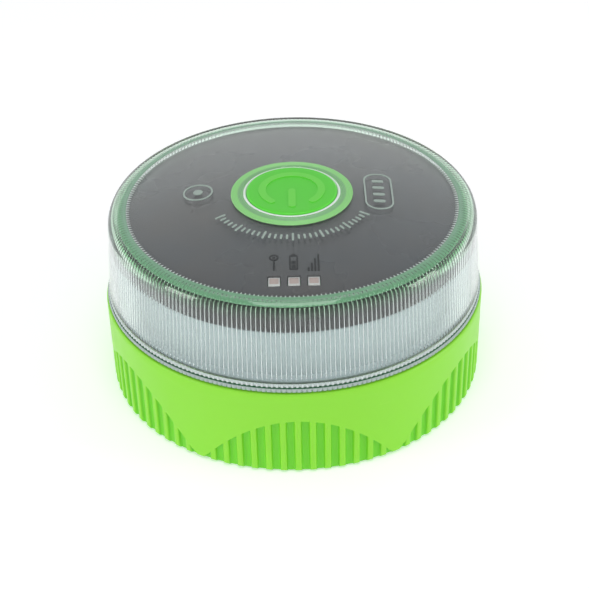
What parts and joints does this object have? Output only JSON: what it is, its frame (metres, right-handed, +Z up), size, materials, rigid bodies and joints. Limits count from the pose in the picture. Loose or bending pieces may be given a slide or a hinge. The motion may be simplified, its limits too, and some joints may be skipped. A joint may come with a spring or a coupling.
{
  "type": "road flare",
  "caption": "Round electronic road flare with a grooved green magnetic base, clear ribbed lens, push button with power symbol and a battery door underneath.",
  "frame": {"origin": "centre of the foot ring's lower face, on the axis of the housing", "axes": "+Z up along the housing's axis towards the button, -Y towards the three status LEDs"},
  "size_m": [0.098, 0.098, 0.052],
  "materials": {
    "green_plastic": "satin moulded, lime green",
    "door_plastic": "satin moulded, lime green",
    "pale_green_silicone": "translucent satin",
    "bright_green_silicone": "satin, raised symbol a little lighter",
    "clear_plastic": "clear, polished, ribbed wall",
    "frosted_plastic": "frosted, pale grey",
    "black_plastic": "fine satin, near black",
    "tray_plastic": "satin, near black",
    "white_plastic": "matt white",
    "plunger_plastic": "matt white",
    "foot_rubber": "matt black",
    "gasket_rubber": "matt black",
    "seal_rubber": "matt dark green",
    "screw_steel": "zinc plated",
    "contact_steel": "nickel plated spring strip",
    "can_steel": "tinned shield",
    "magnet_plating": "nickel plated",
    "board_laminate": "green solder mask",
    "chip_plastic": "matt black moulding compound",
    "antenna_ceramic": "fired ceramic",
    "cell_label": "plain blue sleeve",
    "led_package": "white frame, pinkish window",
    "lamp_package": "amber phosphor window",
    "strip_film": "white coated film",
    "red_lead": "red insulation",
    "black_lead": "black insulation"
  },
  "bodies": {
    "housing": {"base_housing": "green_plastic", "foot_ring": "foot_rubber", "battery_tray": "tray_plastic", "contact_plate_front": "contact_steel", "contact_plate_back": "contact_steel", "chassis": "white_plastic", "lamp_strip": "strip_film", "diffuser_sleeve": "frosted_plastic", "lens_seal": "seal_rubber", "lens_cover": "clear_plastic", "inner_cover": "black_plastic", "status_led_left": "led_package", "status_led_middle": "led_package", "status_led_right": "led_package", "status_board": "board_laminate", "main_board": "board_laminate", "positioning_antenna": "antenna_ceramic", "cellular_module": "can_steel", "controller_chip": "chip_plastic", "sim_chip": "chip_plastic", "driver_chip": "chip_plastic", "switch_body": "chip_plastic", "button_flange": "pale_green_silicone", "lead_positive": "red_lead", "lead_negative": "black_lead", "magnet_1": "magnet_plating", "case_screw_1": "screw_steel", "battery_cell_1": "cell_label", "magnet_2": "magnet_plating", "case_screw_2": "screw_steel", "battery_cell_2": "cell_label", "magnet_3": "magnet_plating", "case_screw_3": "screw_steel", "battery_cell_3": "cell_label", "magnet_4": "magnet_plating", "case_screw_4": "screw_steel", "battery_cell_4": "cell_label", "lamp_led_01": "lamp_package", "lamp_led_02": "lamp_package", "lamp_led_03": "lamp_package", "lamp_led_04": "lamp_package", "lamp_led_05": "lamp_package", "lamp_led_06": "lamp_package", "lamp_led_07": "lamp_package", "lamp_led_08": "lamp_package", "lamp_led_09": "lamp_package", "lamp_led_10": "lamp_package", "lamp_led_11": "lamp_package", "lamp_led_12": "lamp_package"},
    "button": {"button_cap": "bright_green_silicone"},
    "plunger": {"switch_plunger": "plunger_plastic"},
    "door": {"battery_door": "door_plastic", "door_gasket": "gasket_rubber", "door_screw_left": "screw_steel", "door_screw_right": "screw_steel"}
  },
  "joints": [
    {"name": "button_press", "type": "slide", "parent": "housing", "child": "button", "axis": [0, 0, -1], "range_m": [0, 0.0008], "stiffness_N_per_m": 2000},
    {"name": "plunger_press", "type": "slide", "parent": "housing", "child": "plunger", "axis": [0, 0, -1], "range_m": [0, 0.0008]},
    {"name": "door_release", "type": "slide", "parent": "housing", "child": "door", "axis": [0, 0, -1], "range_m": [0, 0.02]}
  ],
  "couplings": [
    {"joint": "plunger_press", "follows": "button_press", "ratio": 1}
  ]
}
